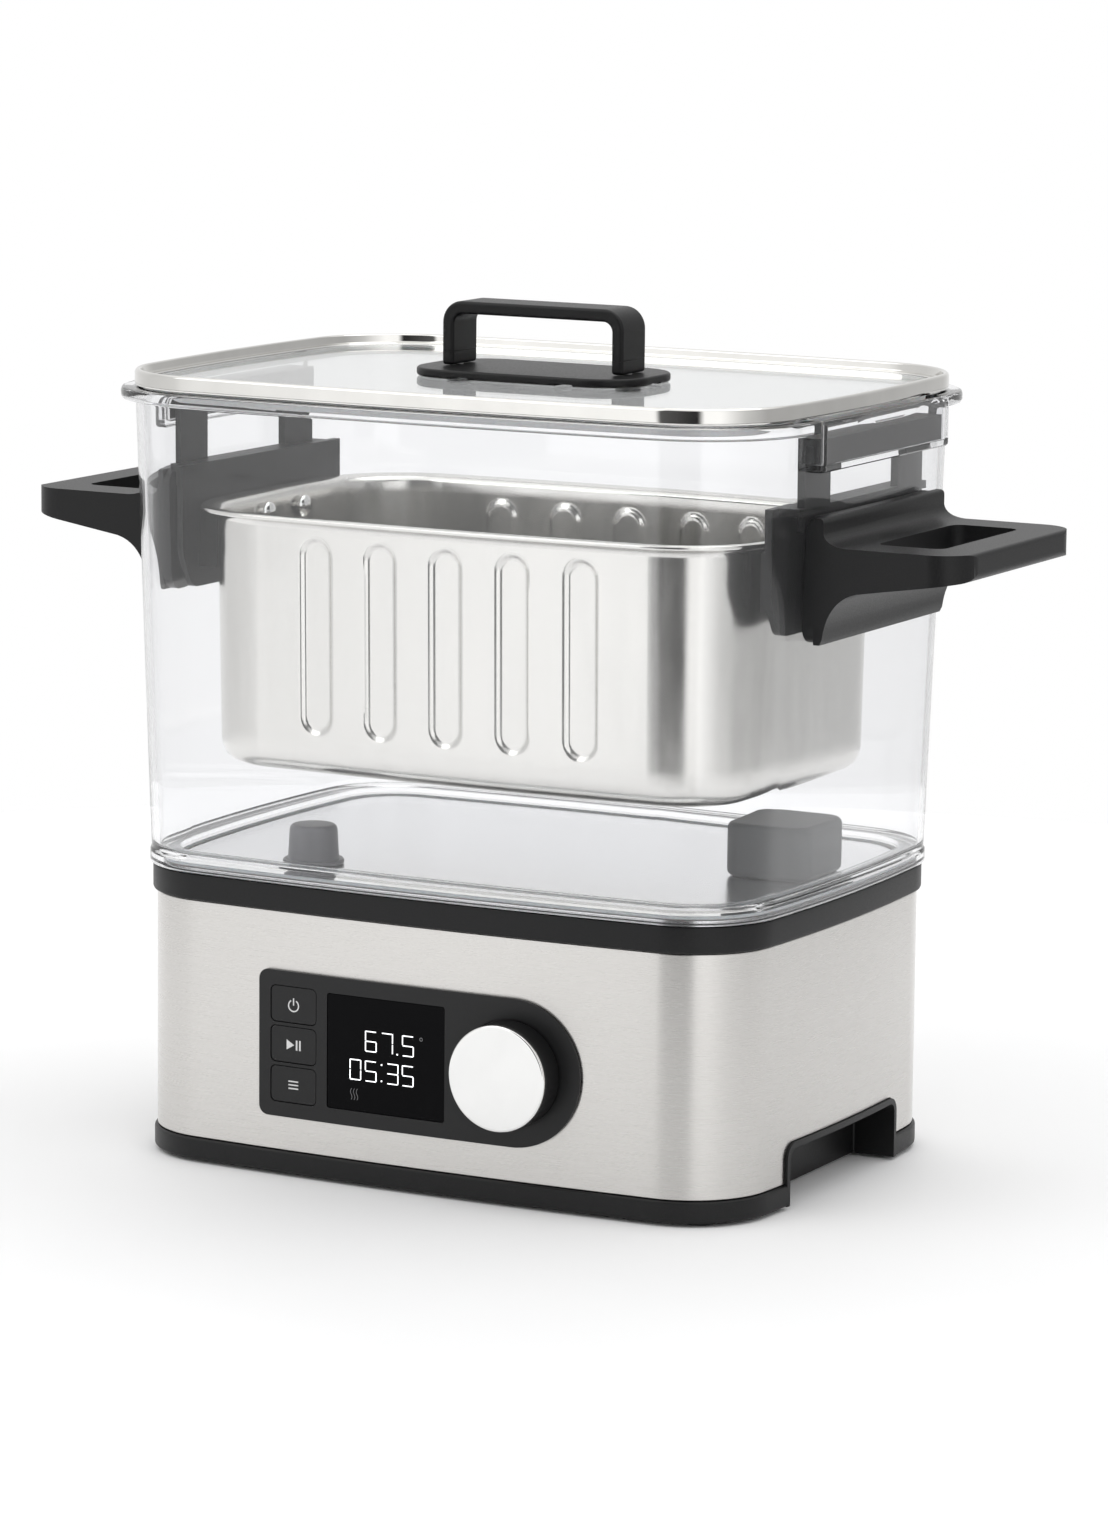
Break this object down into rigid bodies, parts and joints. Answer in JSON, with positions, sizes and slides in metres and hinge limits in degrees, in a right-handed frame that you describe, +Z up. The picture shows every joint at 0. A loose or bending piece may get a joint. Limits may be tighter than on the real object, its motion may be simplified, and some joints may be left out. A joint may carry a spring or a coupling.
{
  "type": "sous vide water bath cooker",
  "caption": "Countertop water bath cooker: heated steel base with control panel, clear lift-off tank with side handles, hanging steel insert and glass lid.",
  "frame": {"origin": "under the centre of the body, on the plane of the feet", "axes": "+Z up, -Y to the control panel, +X to the right as seen from the front, through the side handles"},
  "size_m": [0.411, 0.225, 0.337],
  "materials": {
    "brushed_steel": "fine horizontal brushing, satin",
    "black_plastic": "fine moulded texture, satin",
    "grey_plastic": "moulded, satin",
    "rubber": "matte",
    "plain_steel": "satin",
    "aluminium": "cast, satin",
    "copper_sheath": "heat tinted sheath",
    "circuit_board": "lacquered board",
    "panel_plastic": "smooth satin",
    "display_glass": "gloss",
    "polished_metal": "mirror polished",
    "clear_plastic": "clear moulded plastic",
    "floor_steel": "satin",
    "silicone": "translucent silicone",
    "insert_steel": "satin drawn steel",
    "lid_glass": "clear flat glass"
  },
  "bodies": {
    "base": {"base_skirt": "brushed_steel", "base_tray": "black_plastic", "top_trim": "black_plastic", "base_frame": "grey_plastic", "foot_front_right": "rubber", "base_screw_front_right": "plain_steel", "foot_front_left": "rubber", "base_screw_front_left": "plain_steel", "foot_rear_left": "rubber", "base_screw_rear_left": "plain_steel", "foot_rear_right": "rubber", "base_screw_rear_right": "plain_steel", "heater_plate": "aluminium", "heating_element": "copper_sheath", "thermal_fuse": "plain_steel", "sensor_holder": "grey_plastic", "pump_motor": "plain_steel", "power_board": "circuit_board", "control_board": "circuit_board", "display_module": "grey_plastic", "encoder": "plain_steel", "cord_inlet": "black_plastic", "control_bezel": "panel_plastic", "display_window": "display_glass"},
    "sensor": {"temperature_sensor": "aluminium"},
    "knob": {"knob_body": "panel_plastic", "knob_cap": "polished_metal", "encoder_shaft": "plain_steel"},
    "power_key": {"power_button": "panel_plastic"},
    "start_key": {"start_button": "panel_plastic"},
    "menu_key": {"menu_button": "panel_plastic"},
    "pump_drive": {"drive_magnet": "grey_plastic"},
    "tank": {"tank_shell": "clear_plastic", "tank_floor": "floor_steel", "floor_seal": "silicone", "pump_cover": "grey_plastic", "level_sensor": "grey_plastic", "side_handle_right": "black_plastic", "handle_screw_right_front": "plain_steel", "handle_screw_right_rear": "plain_steel", "side_handle_left": "black_plastic", "handle_screw_left_front": "plain_steel", "handle_screw_left_rear": "plain_steel"},
    "pump_rotor": {"impeller": "grey_plastic"},
    "insert": {"insert_tray": "insert_steel", "hanger_right": "black_plastic", "rivet_right_front": "polished_metal", "rivet_right_rear": "polished_metal", "hanger_left": "black_plastic", "rivet_left_front": "polished_metal", "rivet_left_rear": "polished_metal"},
    "lid": {"lid_band": "polished_metal", "lid_glass": "lid_glass", "lid_seal": "silicone", "lid_handle_base": "black_plastic", "lid_handle_bail": "black_plastic", "lid_screw_right": "plain_steel", "lid_screw_left": "plain_steel"}
  },
  "joints": [
    {"name": "tank_lift", "type": "slide", "parent": "base", "child": "tank", "axis": [0, 0, 1], "range_m": [0, 0.12]},
    {"name": "insert_lift", "type": "slide", "parent": "tank", "child": "insert", "axis": [0, 0, 1], "range_m": [0, 0.17]},
    {"name": "lid_lift", "type": "slide", "parent": "insert", "child": "lid", "axis": [0, 0, 1], "range_m": [0, 0.06]},
    {"name": "knob_turn", "type": "hinge", "parent": "base", "child": "knob", "pos_m": [0.0425, -0.105, 0.053], "axis": [0, -1, 0], "continuous": true},
    {"name": "power_press", "type": "slide", "parent": "base", "child": "power_key", "axis": [0, 1, 0], "range_m": [0, 0.0008], "stiffness_N_per_m": 400},
    {"name": "start_press", "type": "slide", "parent": "base", "child": "start_key", "axis": [0, 1, 0], "range_m": [0, 0.0008], "stiffness_N_per_m": 400},
    {"name": "menu_press", "type": "slide", "parent": "base", "child": "menu_key", "axis": [0, 1, 0], "range_m": [0, 0.0008], "stiffness_N_per_m": 400},
    {"name": "sensor_plunge", "type": "slide", "parent": "base", "child": "sensor", "axis": [0, 0, 1], "range_m": [-0.0015, 0], "stiffness_N_per_m": 300},
    {"name": "drive_spin", "type": "hinge", "parent": "base", "child": "pump_drive", "pos_m": [0.104, 0.008, 0.1], "axis": [0, 0, 1], "continuous": true},
    {"name": "impeller_spin", "type": "hinge", "parent": "tank", "child": "pump_rotor", "pos_m": [0.104, 0.008, 0.125], "axis": [0, 0, 1], "continuous": true}
  ],
  "couplings": [
    {"joint": "impeller_spin", "follows": "drive_spin", "ratio": 1}
  ]
}
